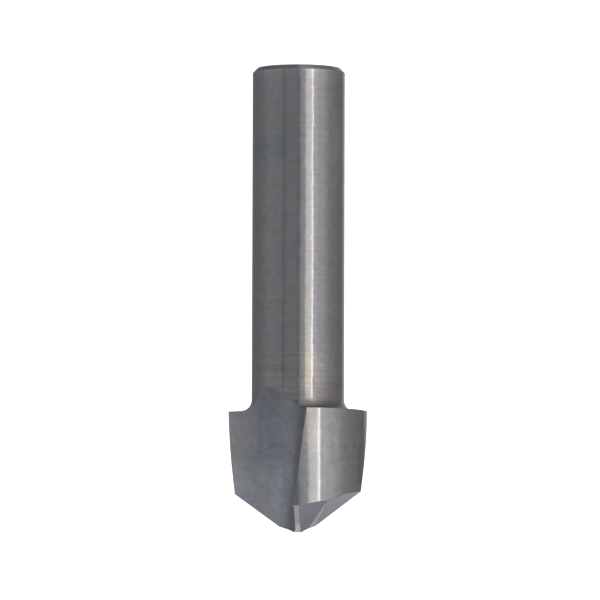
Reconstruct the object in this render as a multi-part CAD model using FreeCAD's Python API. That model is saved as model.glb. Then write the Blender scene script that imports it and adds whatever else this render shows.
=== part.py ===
import FreeCAD, Part
import math
import os

# V groove router bit, ground in one piece from a round blank of solid tungsten carbide.
# Sizes are in millimetres and angles in degrees.
# The bit stands on the end of its shank with its point up. The origin is the centre of
# the shank's end face, and +Z runs along the axis to the point.
# Two flutes leave two lobes, half a turn apart. The first lobe's cutting edge faces -Y,
# its flute lies on the +X side of that edge, and the lobe runs back from it towards -X.
# The bit cuts right-handed, as seen from the shank.

# Blank
overall_length = 60.35
shank_diameter = 12.0
shank_chamfer = 0.6
cutting_diameter = 18.0
cutting_length = 15.68
shoulder_fillet = 1.5

# Cutting face of each flute, which makes the cutting edges
face_lead = 0.29
face_lean = 7.4
face_turn = 4.3

# Floor of each flute, which runs out in the shank
floor_offset = 0.216
floor_turn = 36.5
floor_slope = 17.3
flute_radius = 1.5

# Cutting end: the two edges make the V, and four facets fall away behind each edge
point_angle = 142.4
land_width = 0.68
land_relief = 1.4
second_relief = 13.9
second_width = 1.14
second_turn = 18.4
back_relief = 31.7
back_fall = 15.9
heel_radius = 2.64

X = FreeCAD.Vector(1, 0, 0)
Y = FreeCAD.Vector(0, 1, 0)
Z = FreeCAD.Vector(0, 0, 1)
ORIGIN = FreeCAD.Vector(0, 0, 0)
point = Z * overall_length
shank_radius = shank_diameter / 2
cutting_radius = cutting_diameter / 2


def tan(degrees):
    return math.tan(math.radians(degrees))


def plane(normal, place):
    """A plane as its normal and the place's distance along it."""
    return normal, normal.dot(place)


def meet(first, second, third):
    """The point that three planes share."""
    n1, d1 = first
    n2, d2 = second
    n3, d3 = third
    spread = n1.dot(n2.cross(n3))
    return (n2.cross(n3) * d1 + n3.cross(n1) * d2 + n1.cross(n2) * d3) / spread


def along_wall(wall, other):
    """The direction in a wall, square to its crease with the other one, on that one's open side."""
    normal = wall[0]
    direction = other[0] - normal * (other[0].dot(normal) / normal.dot(normal))
    return direction.normalize()


def meet_at_radius(first, second, radius):
    """Where two planes' crease lies at a distance from the axis, on the lobe's -Y side."""
    start = meet(first, second, plane(Y, ORIGIN))
    direction = first[0].cross(second[0])
    direction = direction * (-1 / direction.y)
    a = direction.x ** 2 + direction.y ** 2
    b = start.x * direction.x + start.y * direction.y
    c = start.x ** 2 + start.y ** 2 - radius ** 2
    return start + direction * ((math.sqrt(b ** 2 - a * c) - b) / a)


def facet_through(fall_out, fall_back, place):
    """A facet that drops towards the shank, outwards along the edge and back from it."""
    return plane(FreeCAD.Vector(-tan(fall_back), -tan(fall_out), 1), place)


def blank():
    """The turned blank: shank with its chamfered end, filleted shoulder and cutting head."""
    shoulder = overall_length - cutting_length
    fillet_foot = FreeCAD.Vector(shank_radius, 0, shoulder - shoulder_fillet)
    fillet_top = FreeCAD.Vector(shank_radius + shoulder_fillet, 0, shoulder)
    bulge = shoulder_fillet * (1 - math.sqrt(0.5))
    fillet_middle = FreeCAD.Vector(shank_radius + bulge, 0, shoulder - bulge)
    outline = [
        Part.makePolygon([
            fillet_top,
            FreeCAD.Vector(cutting_radius, 0, shoulder),
            FreeCAD.Vector(cutting_radius, 0, overall_length),
            point,
            ORIGIN,
            FreeCAD.Vector(shank_radius - shank_chamfer, 0, 0),
            FreeCAD.Vector(shank_radius, 0, shank_chamfer),
            fillet_foot,
        ]),
        Part.Arc(fillet_foot, fillet_middle, fillet_top).toShape(),
    ]
    return Part.Face(Part.Wire(outline)).revolve(ORIGIN, Z, 360)


def flute(face, floor):
    """What one grinding pass removes: a straight prism with a rounded crease."""
    reach = cutting_diameter
    crease = face[0].cross(floor[0]).normalize()
    up_face = along_wall(face, floor)
    up_floor = along_wall(floor, face)
    corner = meet(face, floor, plane(Z, point)) - crease * reach
    half_opening = up_face.getAngle(up_floor) / 2
    between = (up_face + up_floor).normalize()
    tangent = flute_radius / math.tan(half_opening)
    nearest = flute_radius / math.sin(half_opening) - flute_radius
    on_face = corner + up_face * tangent
    on_floor = corner + up_floor * tangent
    rounded = Part.Arc(on_floor, corner + between * nearest, on_face).toShape()
    open_side = Part.makePolygon([
        on_face,
        corner + up_face * reach,
        corner + (up_face + up_floor) * reach,
        corner + up_floor * reach,
        on_floor,
    ])
    section = Part.Face(Part.Wire([rounded, open_side]))
    return section.extrude(crease * (reach + overall_length))


def end_cut(facet, front_wall, back_wall):
    """What lies beyond one facet, between two upright walls."""
    outside = plane(Y, Y * -cutting_diameter)
    past_axis = plane(Y, Y * (face_lead + land_width))
    corners = [
        meet(facet, front_wall, outside),
        meet(facet, back_wall, outside),
        meet(facet, back_wall, past_axis),
        meet(facet, front_wall, past_axis),
    ]
    outline = Part.makePolygon(corners + corners[:1])
    return Part.Face(outline).extrude(Z * overall_length)


def lobe_end(face, next_floor):
    """What the four facets of one lobe remove from the end of the blank."""
    half_v = 90 - point_angle / 2
    ahead = plane(X, X * cutting_diameter)
    behind = plane(X, X * -cutting_diameter)

    land = facet_through(half_v, land_relief, point)
    edge = land[0].cross(face[0])
    edge_start = meet(land, face, plane(Y, ORIGIN))
    land_wall = plane(edge.cross(Z), edge_start - X * land_width)

    land_back = land[0].cross(land_wall[0])
    land_corner = meet_at_radius(land, land_wall, cutting_radius)
    backwards = FreeCAD.Vector(-1, 0, -tan(second_relief))
    second = plane(land_back.cross(backwards), land_corner)
    second_wall = plane(FreeCAD.Vector(1, -tan(second_turn), 0), X * -second_width)

    ridge_top = meet_at_radius(second, second_wall, cutting_radius)
    back = facet_through(back_fall, back_relief, ridge_top)

    ridge_foot = meet(second, second_wall, next_floor)
    heel = meet_at_radius(back, next_floor, heel_radius)
    third = plane((ridge_top - ridge_foot).cross(heel - ridge_foot), heel)

    cuts = [
        end_cut(land, ahead, land_wall),
        end_cut(second, land_wall, second_wall),
        end_cut(third, second_wall, behind),
        end_cut(back, second_wall, behind),
    ]
    return cuts[0].multiFuse(cuts[1:])


def half_turned(shape):
    """A copy of a shape, half a turn round the axis."""
    copy = shape.copy()
    copy.rotate(ORIGIN, Z, 180)
    return copy


def router_bit():
    """The blank with its flutes and its cutting end ground away."""
    face_normal = FreeCAD.Vector(1, tan(face_turn), -tan(face_lean))
    face = plane(face_normal, point + X * face_lead)
    turn = math.radians(floor_turn)
    out = FreeCAD.Vector(math.sin(turn), -math.cos(turn), 0)
    floor = plane(out + Z * tan(floor_slope), point + out * floor_offset)
    next_floor = plane(Z * tan(floor_slope) - out, point - out * floor_offset)

    first_flute = flute(face, floor)
    first_end = lobe_end(face, next_floor)
    ground = blank().cut(first_flute).cut(half_turned(first_flute))
    ground = ground.cut(first_end).cut(half_turned(first_end))
    return ground.removeSplitter().Solids[0]


os.makedirs("parts", exist_ok=True)
bit = router_bit()
bit.exportStep("parts/router_bit.step")
print("router_bit valid", bit.isValid(), "faces", len(bit.Faces), "volume", round(bit.Volume, 2))
print("box", bit.BoundBox)
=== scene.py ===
"""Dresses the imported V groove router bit: ground carbide finish, camera and a plain white studio."""

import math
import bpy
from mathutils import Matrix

bl_info = {
    "name": "V Groove Router Bit",
    "version": (1, 0, 0),
    "blender": (4, 5, 0),
    "location": "3D View > Sidebar > Router Bit",
    "description": "Finishes a solid carbide V groove router bit and sets up its studio",
    "category": "Object",
}

import bpy
from bpy.props import FloatProperty, FloatVectorProperty, PointerProperty
from mathutils import Matrix, Vector

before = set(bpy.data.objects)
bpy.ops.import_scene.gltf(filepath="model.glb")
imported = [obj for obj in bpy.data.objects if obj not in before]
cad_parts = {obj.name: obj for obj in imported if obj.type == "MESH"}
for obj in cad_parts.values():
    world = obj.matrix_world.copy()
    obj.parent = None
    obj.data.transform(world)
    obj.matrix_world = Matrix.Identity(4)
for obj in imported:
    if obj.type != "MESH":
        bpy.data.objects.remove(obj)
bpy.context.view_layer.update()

MM = 0.001


def linear(hex_colour):
    """An sRGB hex colour as linear red, green and blue."""
    channels = [int(hex_colour[i:i + 2], 16) / 255 for i in (0, 2, 4)]
    return [c / 12.92 if c <= 0.04045 else ((c + 0.055) / 1.055) ** 2.4 for c in channels]


def add_node(tree, kind, inputs=None, **settings):
    """Add a node with its settings; each input is a value or another node's output."""
    node = tree.nodes.new(kind)
    for name, value in settings.items():
        setattr(node, name, value)
    shown = {socket.name: socket for socket in node.inputs if socket.enabled}
    for name, value in (inputs or {}).items():
        socket = node.inputs[name] if isinstance(name, int) else shown[name]
        if isinstance(value, bpy.types.NodeSocket):
            tree.links.new(value, socket)
        else:
            socket.default_value = value
    return node


def new_tree(owner):
    """An owner's node tree, emptied."""
    owner.use_nodes = True
    owner.node_tree.nodes.clear()
    return owner.node_tree


def by_table(tree, value, table):
    """The colour that a table gives for a value. Each row is a value and the colour there,
    and a grey serves as a number."""
    low, high = table[0][0], table[-1][0]
    part = add_node(tree, "ShaderNodeMapRange", {"Value": value, "From Min": low, "From Max": high})
    ramp = add_node(tree, "ShaderNodeValToRGB", {"Fac": part.outputs["Result"]})
    stops = ramp.color_ramp.elements
    while len(stops) < len(table):
        stops.new(1)
    for stop, (row_value, colour) in zip(stops, table):
        stop.position = (row_value - low) / (high - low)
        stop.color = (*colour, 1)
    return ramp.outputs["Color"]


def in_greys(table):
    """A table of numbers as a table of greys."""
    return [(value, (level, level, level)) for value, level in table]


class RouterBitFinish(bpy.types.PropertyGroup):
    """Colours and surface of the ground carbide."""

    carbide: FloatVectorProperty(
        name="Ground carbide",
        description="Colour of the clean ground carbide",
        default=linear("8b8b8f"), min=0, max=1, subtype="COLOR",
    )
    blue_tarnish: FloatVectorProperty(
        name="Blue tarnish",
        description="Colour of the carbide where grinding heat and coolant left it bluish",
        default=linear("7a838b"), min=0, max=1, subtype="COLOR",
    )
    olive_tarnish: FloatVectorProperty(
        name="Olive tarnish",
        description="Colour of the carbide where dried coolant left it olive brown",
        default=linear("8c867a"), min=0, max=1, subtype="COLOR",
    )
    brown_tarnish: FloatVectorProperty(
        name="Brown tarnish",
        description="Colour of the carbide where grinding heat left it brown",
        default=linear("807670"), min=0, max=1, subtype="COLOR",
    )
    # Pale carbide: wear from a holder low on the shank, and painted highlight near the shoulder and on the
    # lobe
    worn_and_sheen: FloatVectorProperty(
        name="Worn carbide",
        description="Colour of the carbide where a holder has rubbed it paler",
        default=linear("9a9693"), min=0, max=1, subtype="COLOR",
    )
    edge_radius: FloatProperty(
        name="Edge rounding",
        description="How far the light wraps round an edge, in millimetres",
        default=0.13, min=0, max=0.5,
    )
    roughness: FloatProperty(
        name="Roughness",
        description="How far the grinding marks spread a reflection",
        default=0.22, min=0.05, max=1, subtype="FACTOR",
    )
    grain: FloatProperty(
        name="Grinding direction",
        description="How much more the marks spread a reflection across them than along them",
        default=1.0, min=0, max=1, subtype="FACTOR",
    )
    waviness: FloatProperty(
        name="Waviness",
        description="Height of the faint waves that the grinding wheel leaves, in millimetres",
        default=0.035, min=0, max=0.1,
    )
    mark_height: FloatProperty(
        name="Grinding marks",
        description="Height of the visible grinding marks, in millimetres",
        default=0.0015, min=0, max=0.02,
    )


class RouterBitStage(bpy.types.PropertyGroup):
    """Camera, floor and lamps."""

    distance: FloatProperty(
        name="Camera distance",
        description="How far in front of the bit's axis the camera stands",
        default=1.0, min=0.3, unit="LENGTH",
    )
    height: FloatProperty(
        name="Camera height",
        description="Height of the camera over the end of the shank",
        default=109.11 * MM, unit="LENGTH",
    )
    lens: FloatProperty(
        name="Lens",
        description="Focal length on a 36 mm sensor, in millimetres",
        default=463.88, min=50,
    )
    roll: FloatProperty(
        name="Camera roll",
        description="Turn of the picture, which puts the point at its bottom",
        default=math.radians(180.1656), subtype="ANGLE",
    )
    aim: FloatVectorProperty(
        name="Aim",
        description="Point that the camera looks at",
        default=(-0.236 * MM, 0, 30.17 * MM), subtype="XYZ", unit="LENGTH",
    )


# Places and sizes here are in millimetres, and the front of the bit is at -Y. Tints and
# brightnesses multiply the carbide's colour.

# Upward slopes between which a face turns from a round one into a flute's floor, and from
# that into a facet, and the slope under which it is the flat end of the shank
FLUTE_SLOPE = (0.1, 0.28)
FACET_SLOPE = (0.45, 0.6)
END_SLOPE = -0.9

# Where nearly all values of a noise texture lie, and their middle
NOISE_LOW, NOISE_HIGH = 0.3, 0.7
NOISE_MIDDLE = 0.5

# Stains that the real bit shows, and pale patches of painted highlight: tarnish, centre, half sizes and
# strength. The pale ones low on the shank are wear from a holder; the pale ones from 39 mm up, near the
# shoulder and on the lobe, are painted highlight.
STAINS = (
    ("blue", (3.6, -4.8, 10.9), (4.6, 4.0, 2.6), 0.6),
    ("olive", (4.3, -4.2, 16.0), (1.8, 3.0, 2.6), 0.3),
    ("olive", (4.4, -4.1, 23.4), (1.5, 3.0, 4.4), 0.35),
    ("worn_and_sheen", (4.3, -4.2, 23.5), (0.8, 2.0, 2.6), 0.6),
    ("olive", (-4.0, -4.5, 21.5), (1.2, 3.0, 7.0), 0.25),
    ("worn_and_sheen", (-5.3, -2.8, 10.5), (1.4, 3.0, 7.0), 0.85),
    ("brown", (-3.2, -4.9, 42.6), (2.4, 3.0, 1.9), 0.4),
    ("brown", (-2.4, -5.8, 44.4), (3.0, 3.0, 0.7), 0.2),
    ("olive", (3.5, -4.8, 41.2), (1.9, 3.0, 0.9), 0.3),
    ("worn_and_sheen", (3.0, -5.1, 41.2), (3.0, 3.0, 1.5), 0.75),
    ("worn_and_sheen", (-1.9, -5.7, 39.6), (1.6, 2.0, 5.0), 0.85),
    ("worn_and_sheen", (-4.0, -4.5, 40.0), (1.3, 2.0, 4.0), 0.55),
    ("worn_and_sheen", (1.0, -5.9, 44.2), (0.8, 2.0, 1.2), 0.7),
    ("brown", (3.4, -4.6, 42.9), (2.0, 2.0, 1.0), 0.3),
    ("blue", (4.4, -3.4, 44.8), (2.6, 3.0, 2.2), 0.7),
    ("blue", (3.6, -2.0, 47.8), (2.8, 4.0, 4.6), 0.3),
    ("blue", (1.4, -1.4, 55.0), (0.9, 2.2, 4.6), 0.85),
    ("olive", (-1.9, -8.8, 46.2), (1.6, 2.0, 2.4), 0.3),
    ("blue", (-1.9, -8.8, 52.6), (1.9, 2.0, 4.2), 0.45),
    ("worn_and_sheen", (-4.0, -8.1, 50.5), (1.0, 2.0, 10.0), 0.45),
    ("brown", (-8.7, -3.0, 49.5), (1.3, 3.5, 9.0), 0.6),
    ("blue", (-8.7, -3.0, 49.5), (1.3, 3.5, 9.0), 0.5),
    ("olive", (7.4, 1.5, 48.0), (1.6, 4.0, 5.0), 0.2),
    ("olive", (4.5, 1.1, 55.0), (2.6, 2.5, 3.6), 0.2),
)
# Between which parts of its half sizes a stain fades, and how far its rim wanders
STAIN_FADE = (0.3, 1.1)
RIM_WANDER = 5.0
# Where blue dashes lie across the front flute: centre, half sizes and strength
DASHES = ((3.0, -2.4, 49.6), (2.4, 4.0, 4.2), 1.0)

# How many features for each millimetre along X, Y and Z the dashes have, and the grinding
# marks: rings on the round faces and lines along the bit in the flutes
DASH_SCALE = (0.5, 0.5, 3.2)
RING_SCALE = (0.12, 0.12, 4.0)
LINE_SCALE = (4.0, 4.0, 0.25)
# Contrast of the marks, and the strongest, which they grow to between two heights on the
# shank and lose over the third
MARKS_FAINT = 0.05
MARKS_STRONG = 0.16
MARKS_GROW = (36.5, 40.0)
MARKS_END = 43.0

# The first flute's floor, seen from the point: the direction across it, and out of it
ACROSS_FLUTE = (0.804, 0.595, 0.0)
OUT_OF_FLUTE = (0.595, -0.804, 0.0)
# The crease under the cutting edge: how far across it would lie at the foot of the shank,
# and how much farther it lies for each millimetre of height
CREASE_FOOT = -22.3
CREASE_LEAN = 0.382
# Tint of a flute by the distance from its crease: painted shade in the crease, then a bluish streak
# of tarnish, and painted light that makes it pale towards the far rim
FLUTE_TARNISH_AND_PAINTED_LIGHT = (
    (0.0, (0.56, 0.56, 0.60)), (0.7, (0.72, 0.73, 0.77)), (1.5, (1.04, 1.09, 1.15)),
    (2.2, (1.12, 1.21, 1.27)), (3.2, (1.20, 1.25, 1.32)), (4.5, (1.14, 1.18, 1.25)),
    (7.0, (1.10, 1.17, 1.25)), (9.0, (1.28, 1.32, 1.38)), (12.0, (1.62, 1.63, 1.63)),
)
# Painted light on a flute by height: painted shade where it runs out in the shank, and paler towards the
# point
FLUTE_PAINTED_LIGHT = ((43.0, 0.84), (48.0, 1.0), (50.4, 1.0), (52.0, 1.13), (53.6, 1.26))

# Tints of the facets and of the land, under their painted reflections, and how far sideways the land faces
# at most
FACET_LILAC = (0.91, 0.955, 1.085)
LAND_LILAC = (0.96, 0.98, 1.03)
LAND_LEAN = 0.1

# Brightness by height at the end of the shank: a painted highlight, strongest on its chamfer and along
# its rim, where the rounded edge catches the light
END_PAINTED_HIGHLIGHT = ((0.0, 1.45), (0.56, 1.45), (0.62, 1.24), (1.1, 1.12), (1.6, 1.08), (4.0, 1.0))

# Centre of the scratches that wiping has left, and between which distances they fade
WIPE_CENTRE = (-4.6, -7.7, 48.6)
WIPE_FADE = (2.0, 6.0)

# Heights between which the waviness fades, and the part of it that stays
WAVES_FADE = (40.0, 44.0)
WAVES_LEAST = 0.2
BEVEL_SAMPLES = 6


class Place:
    """Where a point of the bit lies, in millimetres, and which kind of face it is on."""

    def __init__(self, tree):
        coords = add_node(tree, "ShaderNodeTexCoord")
        self.mm = add_node(tree, "ShaderNodeVectorMath", {
            0: coords.outputs["Object"], "Scale": 1 / MM,
        }, operation="SCALE").outputs["Vector"]
        self.height = add_node(tree, "ShaderNodeSeparateXYZ", {"Vector": self.mm}).outputs["Z"]
        self.outwards = add_node(tree, "ShaderNodeVectorMath", {
            0: self.mm, 1: (1, 1, 0),
        }, operation="MULTIPLY").outputs["Vector"]
        self.radius = add_node(tree, "ShaderNodeVectorMath", {
            0: self.outwards,
        }, operation="LENGTH").outputs["Value"]
        normal = add_node(tree, "ShaderNodeSeparateXYZ", {"Vector": coords.outputs["Normal"]})
        self.slope = normal.outputs["Z"]
        self.lean = add_node(tree, "ShaderNodeMath", {
            0: normal.outputs["X"],
        }, operation="ABSOLUTE").outputs["Value"]
        # The slope of a face says which wheel ground it: the round faces stand upright, the
        # flute floors lean by 17 degrees and the facets of the cutting end are nearly level.
        self.flute, self.facet = (
            add_node(tree, "ShaderNodeMapRange", {
                "Value": self.slope, "From Min": low, "From Max": high,
            }).outputs["Result"]
            for low, high in (FLUTE_SLOPE, FACET_SLOPE)
        )


def stain(tree, place, centre, half_size, strength):
    """How strongly a stain covers a point: a soft blob round its centre."""
    local = add_node(tree, "ShaderNodeMapping", {
        "Vector": place, "Location": centre, "Scale": half_size,
    }, vector_type="TEXTURE")
    away = add_node(tree, "ShaderNodeVectorMath", {0: local.outputs["Vector"]}, operation="LENGTH")
    cover = add_node(tree, "ShaderNodeMapRange", {
        "Value": away.outputs["Value"], "From Min": STAIN_FADE[0], "From Max": STAIN_FADE[1],
        "To Min": strength, "To Max": 0.0,
    }, interpolation_type="SMOOTHSTEP")
    return cover.outputs["Result"]


def blue_dashes(tree, at, ragged):
    """How strongly short blue dashes cover the front flute, where the wheel chattered."""
    crosswise = add_node(tree, "ShaderNodeVectorMath", {0: at.mm, 1: DASH_SCALE}, operation="MULTIPLY")
    chatter = add_node(tree, "ShaderNodeTexNoise", {
        "Vector": crosswise.outputs["Vector"], "Scale": 1.0, "Detail": 2.0, "Roughness": 0.5,
    })
    return add_node(tree, "ShaderNodeMapRange", {
        "Value": chatter.outputs["Fac"], "From Min": 0.44, "From Max": 0.56,
        "To Max": stain(tree, ragged, *DASHES),
    }).outputs["Result"]


def stains_and_sheen_colour(tree, at, clouds, finish):
    """The carbide's colour under its tarnish: wide patches, the stains, the pale patches of painted
    highlight and the dashes. The clouds make the rims of the stains wander."""
    shift = add_node(tree, "ShaderNodeVectorMath", {
        0: clouds.outputs["Color"], 1: [NOISE_MIDDLE] * 3,
    }, operation="SUBTRACT")
    ragged = add_node(tree, "ShaderNodeVectorMath", {
        0: shift.outputs["Vector"], 1: [RIM_WANDER] * 3, 2: at.mm,
    }, operation="MULTIPLY_ADD").outputs["Vector"]
    patches = add_node(tree, "ShaderNodeTexNoise", {
        "Vector": at.mm, "Scale": 0.28, "Detail": 4.0, "Roughness": 0.6,
    }).outputs["Fac"]
    # The patches are bluer in the flutes
    bluest = add_node(tree, "ShaderNodeMapRange", {"Value": at.flute, "To Min": 0.15, "To Max": 0.5})
    blue_patches = add_node(tree, "ShaderNodeMapRange", {
        "Value": patches, "From Min": 0.46, "From Max": 0.7, "To Max": bluest.outputs["Result"],
    }, interpolation_type="SMOOTHSTEP")
    olive_patches = add_node(tree, "ShaderNodeMapRange", {
        "Value": patches, "From Min": 0.5, "From Max": 0.3, "To Max": 0.15,
    }, interpolation_type="SMOOTHSTEP")

    cover = {
        "worn_and_sheen": 0.0, "olive": olive_patches.outputs["Result"],
        "brown": 0.0, "blue": blue_patches.outputs["Result"],
    }
    layers = [(tarnish, stain(tree, ragged, *blob)) for tarnish, *blob in STAINS]
    layers.append(("blue", blue_dashes(tree, at, ragged)))
    for tarnish, layer in layers:
        cover[tarnish] = add_node(tree, "ShaderNodeMath", {
            0: cover[tarnish], 1: layer,
        }, operation="MAXIMUM").outputs["Value"]
    colour = (*finish.carbide, 1)
    # The pale colour is wear low on the shank and painted highlight near the shoulder and on the lobe
    for tarnish, its_colour in (
        ("worn_and_sheen", finish.worn_and_sheen), ("olive", finish.olive_tarnish),
        ("brown", finish.brown_tarnish), ("blue", finish.blue_tarnish),
    ):
        colour = add_node(tree, "ShaderNodeMix", {
            "Factor": cover[tarnish], "A": colour, "B": (*its_colour, 1),
        }, data_type="RGBA").outputs["Result"]
    return colour


def grinding_marks(tree, at):
    """Grinding marks: rings on the round faces, lines along the bit in the flutes. Real ones
    are some 0.01 mm apart; these are 0.2 to 0.4 mm apart, so that they show."""
    rings = add_node(tree, "ShaderNodeVectorMath", {0: at.mm, 1: RING_SCALE}, operation="MULTIPLY")
    lines = add_node(tree, "ShaderNodeVectorMath", {0: at.mm, 1: LINE_SCALE}, operation="MULTIPLY")
    run = add_node(tree, "ShaderNodeMix", {
        "Factor": at.flute, "A": rings.outputs["Vector"], "B": lines.outputs["Vector"],
    }, data_type="VECTOR")
    return add_node(tree, "ShaderNodeTexNoise", {
        "Vector": run.outputs["Result"], "Scale": 1.0, "Detail": 3.0, "Roughness": 0.7,
    }).outputs["Fac"]


def flute_tarnish_and_painted_light(tree, at, marks):
    """A flute's tint by the distance from its crease, drawn out into streaks by the marks, with
    painted shade in the crease and painted light towards the far rim, scaled by painted light by height.
    """
    across = add_node(tree, "ShaderNodeVectorMath", {0: at.mm, 1: ACROSS_FLUTE}, operation="DOT_PRODUCT")
    out = add_node(tree, "ShaderNodeVectorMath", {0: at.mm, 1: OUT_OF_FLUTE}, operation="DOT_PRODUCT")
    # 1 in the first flute and -1 in the second, where distances run the other way
    side = add_node(tree, "ShaderNodeMath", {0: out.outputs["Value"]}, operation="SIGN")
    crease = add_node(tree, "ShaderNodeMath", {
        0: at.height, 1: -CREASE_LEAN, 2: -CREASE_FOOT,
    }, operation="MULTIPLY_ADD")
    from_crease = add_node(tree, "ShaderNodeMath", {
        0: across.outputs["Value"], 1: side.outputs["Value"], 2: crease.outputs["Value"],
    }, operation="MULTIPLY_ADD")
    streaked = add_node(tree, "ShaderNodeMath", {
        0: marks, 1: from_crease.outputs["Value"],
    }, operation="ADD")
    tint = by_table(tree, streaked.outputs["Value"], [
        (distance + NOISE_MIDDLE, colour) for distance, colour in FLUTE_TARNISH_AND_PAINTED_LIGHT
    ])
    return add_node(tree, "ShaderNodeVectorMath", {
        0: tint, "Scale": by_table(tree, at.height, in_greys(FLUTE_PAINTED_LIGHT)),
    }, operation="SCALE").outputs["Vector"]


def facet_tint_and_painted_sheen(tree, at):
    """The facets' tint: they are lilac, and a painted reflection makes them paler outwards, the steep
    ones most. The land behind each edge is less coloured, with painted shade that makes it duller,
    but for a painted highlight on its last 3 mm at the point."""
    land = add_node(tree, "ShaderNodeMath", {
        0: at.lean, 1: LAND_LEAN,
    }, operation="LESS_THAN").outputs["Value"]
    # Painted reflection on the facets, and painted shade and a painted highlight on the land
    palest_painted_sheen = add_node(tree, "ShaderNodeMapRange", {
        "Value": at.lean, "From Min": 0.3, "From Max": 0.45, "To Min": 1.25, "To Max": 1.4,
    })
    facet_painted_sheen = add_node(tree, "ShaderNodeMapRange", {
        "Value": at.radius, "From Min": 3.0, "From Max": 7.5,
        "To Min": 1.05, "To Max": palest_painted_sheen.outputs["Result"],
    })
    land_painted_highlight = add_node(tree, "ShaderNodeMapRange", {
        "Value": at.radius, "From Min": 3.4, "From Max": 2.2, "To Min": 0.78, "To Max": 1.24,
    })
    level = add_node(tree, "ShaderNodeMix", {
        "Factor": land, "A": facet_painted_sheen.outputs["Result"], "B": land_painted_highlight.outputs["Result"],
    }, data_type="FLOAT")
    tint = add_node(tree, "ShaderNodeMix", {
        "Factor": land, "A": FACET_LILAC, "B": LAND_LILAC,
    }, data_type="VECTOR")
    return add_node(tree, "ShaderNodeVectorMath", {
        0: tint.outputs["Result"], "Scale": level.outputs["Result"],
    }, operation="SCALE").outputs["Vector"]


def face_tint_and_painted_light(tree, at, marks):
    """Tint by the kind of face: the facets' and the flutes' own, with their painted shade and
    painted reflections, and none on the round ones.
    """
    not_flute = add_node(tree, "ShaderNodeMix", {
        "Factor": at.facet, "A": (1, 1, 1), "B": facet_tint_and_painted_sheen(tree, at),
    }, data_type="VECTOR")
    only_flute = add_node(tree, "ShaderNodeMath", {0: at.flute, 1: at.facet}, operation="SUBTRACT")
    return add_node(tree, "ShaderNodeMix", {
        "Factor": only_flute.outputs["Value"],
        "A": not_flute.outputs["Result"], "B": flute_tarnish_and_painted_light(tree, at, marks),
    }, data_type="VECTOR").outputs["Result"]


def mark_level(tree, at, marks):
    """Brightness of the marks, which show most just over the shoulder, where the wheel
    turned back."""
    growing = add_node(tree, "ShaderNodeMapRange", {
        "Value": at.height, "From Min": MARKS_GROW[0], "From Max": MARKS_GROW[1],
        "To Min": MARKS_FAINT, "To Max": MARKS_STRONG,
    })
    below_end = add_node(tree, "ShaderNodeMath", {0: at.height, 1: MARKS_END}, operation="LESS_THAN")
    grown = add_node(tree, "ShaderNodeMath", {
        0: growing.outputs["Result"], 1: below_end.outputs["Value"],
    }, operation="MULTIPLY")
    contrast = add_node(tree, "ShaderNodeMath", {
        0: grown.outputs["Value"], 1: MARKS_FAINT,
    }, operation="MAXIMUM").outputs["Value"]
    darkest = add_node(tree, "ShaderNodeMath", {0: 1.0, 1: contrast}, operation="SUBTRACT")
    lightest = add_node(tree, "ShaderNodeMath", {0: 1.0, 1: contrast}, operation="ADD")
    return add_node(tree, "ShaderNodeMapRange", {
        "Value": marks, "From Min": NOISE_LOW, "From Max": NOISE_HIGH,
        "To Min": darkest.outputs["Value"], "To Max": lightest.outputs["Value"],
    }).outputs["Result"]


def wipe_level(tree, at, clouds):
    """Brightness of the fine scratches in arcs that wiping has left on the outside of the
    lobe, some of them rubbed away."""
    local = add_node(tree, "ShaderNodeMapping", {
        "Vector": at.mm, "Location": WIPE_CENTRE,
    }, vector_type="TEXTURE").outputs["Vector"]
    swirl = add_node(tree, "ShaderNodeTexWave", {
        "Vector": local, "Scale": 0.8, "Distortion": 14.0, "Detail": 3.0, "Detail Scale": 0.5,
    }, wave_type="RINGS", rings_direction="SPHERICAL")
    away = add_node(tree, "ShaderNodeVectorMath", {0: local}, operation="LENGTH")
    fresh = add_node(tree, "ShaderNodeMapRange", {
        "Value": away.outputs["Value"], "From Min": WIPE_FADE[0], "From Max": WIPE_FADE[1],
        "To Min": 0.15, "To Max": 0.0,
    })
    left_over = add_node(tree, "ShaderNodeMapRange", {
        "Value": clouds.outputs["Fac"], "From Min": 0.42, "From Max": 0.58,
        "To Max": fresh.outputs["Result"],
    })
    return add_node(tree, "ShaderNodeMath", {
        0: swirl.outputs["Fac"], 1: left_over.outputs["Result"], 2: 0.98,
    }, operation="MULTIPLY_ADD").outputs["Value"]


def ground_normal(tree, at, marks, finish):
    """The way the surface faces, with rounded edges, faint waves and the grinding marks."""
    rounded = add_node(tree, "ShaderNodeBevel", {
        "Radius": finish.edge_radius * MM,
    }, samples=BEVEL_SAMPLES)
    waves = add_node(tree, "ShaderNodeTexNoise", {
        "Vector": at.mm, "Scale": 0.35, "Detail": 3.0, "Roughness": 0.5,
    })
    wave_height = add_node(tree, "ShaderNodeMapRange", {
        "Value": at.height, "From Min": WAVES_FADE[0], "From Max": WAVES_FADE[1],
        "To Min": finish.waviness * MM, "To Max": finish.waviness * WAVES_LEAST * MM,
    })
    normal = rounded.outputs["Normal"]
    for relief, depth in (
        (waves.outputs["Fac"], wave_height.outputs["Result"]), (marks, finish.mark_height * MM),
    ):
        normal = add_node(tree, "ShaderNodeBump", {
            "Height": relief, "Distance": depth, "Strength": 1.0, "Normal": normal,
        }).outputs["Normal"]
    return normal


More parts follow.
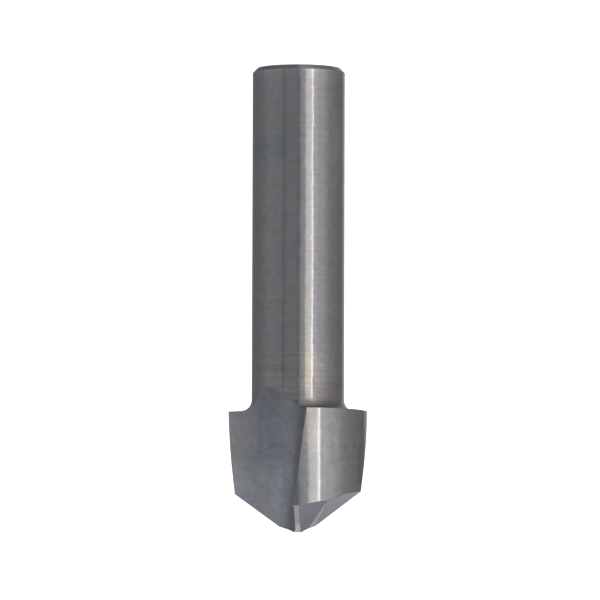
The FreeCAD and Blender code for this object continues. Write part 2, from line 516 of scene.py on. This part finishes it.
def carbide_material(finish):
    """Solid tungsten carbide, ground with diamond wheels: a dark grey satin metal that
    mirrors sharply along the grinding marks and blurs a reflection across them."""
    material = bpy.data.materials.new("tungsten carbide, diamond ground")
    tree = new_tree(material)
    at = Place(tree)
    marks = grinding_marks(tree, at)
    # Clouds, a few millimetres across, and the satin's fine mottling, 0.3 to 1 mm across
    clouds = add_node(tree, "ShaderNodeTexNoise", {
        "Vector": at.mm, "Scale": 0.55, "Detail": 5.0, "Roughness": 0.65,
    })
    mottling = add_node(tree, "ShaderNodeTexNoise", {
        "Vector": at.mm, "Scale": 1.1, "Detail": 6.0, "Roughness": 0.7,
    }).outputs["Fac"]
    level = add_node(tree, "ShaderNodeMapRange", {
        "Value": mottling, "From Min": NOISE_LOW, "From Max": NOISE_HIGH, "To Min": 0.86, "To Max": 1.14,
    }).outputs["Result"]
    # The end of the shank gets a painted highlight from its brightness by height
    for other in (
        mark_level(tree, at, marks), wipe_level(tree, at, clouds),
        by_table(tree, at.height, in_greys(END_PAINTED_HIGHLIGHT)),
    ):
        level = add_node(tree, "ShaderNodeMath", {
            0: level, 1: other,
        }, operation="MULTIPLY").outputs["Value"]
    # The face tint carries painted shade and painted reflections on the flutes and facets
    tinted = add_node(tree, "ShaderNodeVectorMath", {
        0: stains_and_sheen_colour(tree, at, clouds, finish), 1: face_tint_and_painted_light(tree, at, marks),
    }, operation="MULTIPLY")
    colour = add_node(tree, "ShaderNodeVectorMath", {
        0: tinted.outputs["Vector"], "Scale": level,
    }, operation="SCALE")
    roughness = add_node(tree, "ShaderNodeMapRange", {
        "Value": mottling, "From Min": NOISE_LOW, "From Max": NOISE_HIGH,
        "To Min": finish.roughness * 0.85, "To Max": finish.roughness * 1.2,
    })
    # A reflection blurs along the tangent: up and down the bit, and outwards on its flat end
    flat_end = add_node(tree, "ShaderNodeMath", {0: at.slope, 1: END_SLOPE}, operation="LESS_THAN")
    tangent = add_node(tree, "ShaderNodeMix", {
        "Factor": flat_end.outputs["Value"], "A": (0, 0, 1), "B": at.outwards,
    }, data_type="VECTOR")
    shader = add_node(tree, "ShaderNodeBsdfPrincipled", {
        "Base Color": colour.outputs["Vector"],
        "Metallic": 1.0,
        "Roughness": roughness.outputs["Result"],
        "Anisotropic": finish.grain,
        "Tangent": tangent.outputs["Result"],
        "Normal": ground_normal(tree, at, marks, finish),
    })
    add_node(tree, "ShaderNodeOutputMaterial", {"Surface": shader.outputs["BSDF"]})
    return material


class OBJECT_OT_router_bit_finish(bpy.types.Operator):
    """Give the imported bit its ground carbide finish"""

    bl_idname = "object.router_bit_finish"
    bl_label = "Finish the bit"

    def execute(self, context):
        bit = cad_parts["router_bit"]
        bit.material_slots[0].material = carbide_material(context.scene.router_bit_finish)
        return {"FINISHED"}


# Brightness of the room round the bit, by degrees to the right of the camera: dim in front
# and on the left, with two darker gaps, dimmer behind, and a pale wall on the right
ROOM = (
    (-180, 0.45), (-171, 0.24), (-154, 0.26), (-137, 0.31), (-119, 0.40), (-107, 0.45), (-79, 0.61),
    (-41.2, 0.57), (-39.2, 0.41), (-36.6, 0.41), (-34.2, 0.50), (-24.2, 0.56), (-5.2, 0.56), (-3.2, 0.48),
    (2.3, 0.48), (5.8, 0.87), (17.8, 1.04), (38.8, 1.42), (46.8, 1.52), (49.8, 1.28), (64, 1.16), (73, 0.95),
    (85, 0.69), (114, 0.49), (131, 0.37), (139, 0.36), (147, 0.42), (157, 0.60), (169, 0.48), (180, 0.52),
)
# Overhead and underfoot the room is darker: between which slopes, and to which part
ROOM_FADE = (0.15, 0.62)
ROOM_LEAST = 0.65
# Colour of the wall on the right, and the angle over which the room takes it on
WARM_WALL = (1.0, 0.988, 0.968, 1)
WALL_ANGLE = 1.0
WHITE = (1, 1, 1, 1)
# The white backdrop behind the bit: how high its middle stands and how far it reaches
BACKDROP_HEIGHT = math.radians(17)
BACKDROP_REACH = math.radians(15.5)


def studio_world(scene):
    """White to the camera, and to the bit what a studio shows: a dim room and a white backdrop."""
    world = bpy.data.worlds.new("studio")
    scene.world = world
    tree = new_tree(world)
    path = add_node(tree, "ShaderNodeLightPath")
    direction = add_node(tree, "ShaderNodeTexCoord").outputs["Generated"]
    # The angle to the right of the camera, which stands at -Y and has -X on its right
    turned = add_node(tree, "ShaderNodeVectorMath", {0: direction, 1: (-1, -1, 1)}, operation="MULTIPLY")
    parts = add_node(tree, "ShaderNodeSeparateXYZ", {"Vector": turned.outputs["Vector"]})
    azimuth = add_node(tree, "ShaderNodeMath", {
        0: parts.outputs["X"], 1: parts.outputs["Y"],
    }, operation="ARCTAN2").outputs["Value"]
    room = by_table(tree, azimuth, in_greys([
        (math.radians(degrees), level) for degrees, level in ROOM
    ]))
    slope = add_node(tree, "ShaderNodeMath", {0: parts.outputs["Z"]}, operation="ABSOLUTE")
    fade = add_node(tree, "ShaderNodeMapRange", {
        "Value": slope.outputs["Value"], "From Min": ROOM_FADE[0], "From Max": ROOM_FADE[1],
        "To Min": 1.0, "To Max": ROOM_LEAST,
    })
    level = add_node(tree, "ShaderNodeMath", {0: room, 1: fade.outputs["Result"]}, operation="MULTIPLY")
    on_the_right = add_node(tree, "ShaderNodeMapRange", {
        "Value": azimuth, "From Min": 0.0, "From Max": WALL_ANGLE,
    })
    wall = add_node(tree, "ShaderNodeMix", {
        "Factor": on_the_right.outputs["Result"], "A": WHITE, "B": WARM_WALL,
    }, data_type="RGBA")
    # The backdrop lights nothing. Metal shows it where it stands, and so would glass.
    towards_backdrop = add_node(tree, "ShaderNodeVectorMath", {
        0: direction, 1: (0, math.cos(BACKDROP_HEIGHT), math.sin(BACKDROP_HEIGHT)),
    }, operation="DOT_PRODUCT")
    behind = add_node(tree, "ShaderNodeMath", {
        0: towards_backdrop.outputs["Value"], 1: math.cos(BACKDROP_REACH),
    }, operation="GREATER_THAN")
    mirrored = add_node(tree, "ShaderNodeMath", {
        0: path.outputs["Is Glossy Ray"], 1: path.outputs["Is Transmission Ray"],
    }, operation="MAXIMUM")
    in_metal = add_node(tree, "ShaderNodeMath", {
        0: behind.outputs["Value"], 1: mirrored.outputs["Value"],
    }, operation="MULTIPLY")
    white = add_node(tree, "ShaderNodeMath", {
        0: in_metal.outputs["Value"], 1: path.outputs["Is Camera Ray"],
    }, operation="MAXIMUM")
    strength = add_node(tree, "ShaderNodeMath", {
        0: level.outputs["Value"], 1: white.outputs["Value"],
    }, operation="MAXIMUM")
    colour = add_node(tree, "ShaderNodeMix", {
        "Factor": white.outputs["Value"], "A": wall.outputs["Result"], "B": WHITE,
    }, data_type="RGBA")
    background = add_node(tree, "ShaderNodeBackground", {
        "Color": colour.outputs["Result"], "Strength": strength.outputs["Value"],
    })
    add_node(tree, "ShaderNodeOutputWorld", {"Surface": background.outputs["Background"]})


# Side of the floor and its gap under the end of the shank, in metres, and the board's colour
FLOOR_SIZE = 12
FLOOR_GAP = 0.02 * MM
BOARD_COLOUR = (0.8, 0.8, 0.8, 1)


def floor_material():
    """White painted board: it shows white to the camera except where the bit shades it, and
    nothing at all from below, so that the end of the shank can be looked at."""
    material = bpy.data.materials.new("white painted board")
    tree = new_tree(material)
    path = add_node(tree, "ShaderNodeLightPath")
    board = add_node(tree, "ShaderNodeBsdfDiffuse", {"Color": BOARD_COLOUR})
    glow = add_node(tree, "ShaderNodeEmission", {
        "Color": WHITE, "Strength": path.outputs["Is Camera Ray"],
    })
    both = add_node(tree, "ShaderNodeAddShader", {0: board.outputs["BSDF"], 1: glow.outputs["Emission"]})
    side = add_node(tree, "ShaderNodeNewGeometry")
    clear = add_node(tree, "ShaderNodeBsdfTransparent")
    one_sided = add_node(tree, "ShaderNodeMixShader", {
        0: side.outputs["Backfacing"], 1: both.outputs["Shader"], 2: clear.outputs["BSDF"],
    })
    add_node(tree, "ShaderNodeOutputMaterial", {"Surface": one_sided.outputs["Shader"]})
    return material


def add_floor():
    """A pale floor just under the end of the shank."""
    bpy.ops.mesh.primitive_plane_add(size=FLOOR_SIZE, location=(0, 0, -FLOOR_GAP))
    floor = bpy.context.object
    floor.name = "floor"
    floor.data.materials.append(floor_material())
    floor.visible_glossy = False
    floor.visible_shadow = False


# Lamps round the bit: degrees to the right of the camera and over the horizon, from and
# to, brightness over the room, and how warm
SOFTBOXES = {
    "softbox": ((17.8, 34.3), (-13, 45), 1.35, 1.4),
    "softbox_rim": ((33.9, 37.0), (-13, 45), 4.5, 0.3),
    "top_softbox": ((172, 188), (30, 75), 0.95, 0.2),
}
LAMP_DISTANCE = 1.0
BIT_MIDDLE = Vector((0, 0, 30 * MM))
# What warmth 1 takes from a lamp's red, green and blue
WARM_LOSS = (0.0, 0.09, 0.21)


def add_softbox(name, across, up, level, warmth):
    """A rectangular lamp that faces the bit and fills those angles as the bit sees it."""
    width, height = (
        2 * LAMP_DISTANCE * math.tan(math.radians((high - low) / 2)) for low, high in (across, up)
    )
    lamp = bpy.data.lights.new(name, "AREA")
    lamp.shape = "RECTANGLE"
    lamp.size = width
    lamp.size_y = height
    # The power at which the lamp is that bright, where a world of strength 1 is white
    lamp.energy = level * math.pi * width * height
    lamp.color = [1.0 - loss * warmth for loss in WARM_LOSS]
    softbox = bpy.data.objects.new(name, lamp)
    bpy.context.scene.collection.objects.link(softbox)
    azimuth, elevation = math.radians(sum(across) / 2), math.radians(sum(up) / 2)
    away = Vector((
        -math.sin(azimuth) * math.cos(elevation),
        -math.cos(azimuth) * math.cos(elevation),
        math.sin(elevation),
    ))
    softbox.location = BIT_MIDDLE + away * LAMP_DISTANCE
    softbox.rotation_mode = "QUATERNION"
    softbox.rotation_quaternion = (-away).to_track_quat("-Z", "Y")
    softbox.visible_camera = False


# The camera's sensor, in millimetres, and between which distances it sees, in metres
SENSOR_WIDTH = 36
SEEN_FROM, SEEN_TO = 0.05, 50


def add_camera(scene, stage):
    """The camera at the photograph's place, turned over so that the point hangs down."""
    lens = bpy.data.cameras.new("camera")
    lens.lens = stage.lens
    lens.sensor_width = SENSOR_WIDTH
    lens.clip_start, lens.clip_end = SEEN_FROM, SEEN_TO
    camera = bpy.data.objects.new("camera", lens)
    scene.collection.objects.link(camera)
    camera.location = (0, -stage.distance, stage.height)
    look = (Vector(stage.aim) - camera.location).to_track_quat("-Z", "Y")
    turned = look.to_matrix() @ Matrix.Rotation(stage.roll, 3, "Z")
    camera.rotation_mode = "QUATERNION"
    camera.rotation_quaternion = turned.to_quaternion()
    scene.camera = camera


class SCENE_OT_router_bit_stage(bpy.types.Operator):
    """Set up the camera, floor and lamps"""

    bl_idname = "scene.router_bit_stage"
    bl_label = "Set up the studio"

    def execute(self, context):
        scene = context.scene
        scene.view_settings.view_transform = "Standard"
        studio_world(scene)
        add_floor()
        for name, (across, up, level, warmth) in SOFTBOXES.items():
            add_softbox(name, across, up, level, warmth)
        add_camera(scene, scene.router_bit_stage)
        return {"FINISHED"}


class VIEW3D_PT_router_bit(bpy.types.Panel):
    """Lists the router bit's operators and settings"""

    bl_idname = "VIEW3D_PT_router_bit"
    bl_label = "Router Bit"
    bl_space_type = "VIEW_3D"
    bl_region_type = "UI"
    bl_category = "Router Bit"

    def draw(self, context):
        layout = self.layout
        for group, operator in (
            (context.scene.router_bit_finish, OBJECT_OT_router_bit_finish),
            (context.scene.router_bit_stage, SCENE_OT_router_bit_stage),
        ):
            box = layout.box()
            for name in group.__annotations__:
                box.prop(group, name)
            box.operator(operator.bl_idname)


CLASSES = (
    RouterBitFinish,
    RouterBitStage,
    OBJECT_OT_router_bit_finish,
    SCENE_OT_router_bit_stage,
    VIEW3D_PT_router_bit,
)


def register():
    for cls in CLASSES:
        bpy.utils.register_class(cls)
    bpy.types.Scene.router_bit_finish = PointerProperty(type=RouterBitFinish)
    bpy.types.Scene.router_bit_stage = PointerProperty(type=RouterBitStage)


def unregister():
    del bpy.types.Scene.router_bit_stage
    del bpy.types.Scene.router_bit_finish
    for cls in reversed(CLASSES):
        bpy.utils.unregister_class(cls)


def main():
    """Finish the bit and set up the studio."""
    register()
    bpy.ops.object.router_bit_finish()
    bpy.ops.scene.router_bit_stage()


if __name__ == "__main__":
    main()
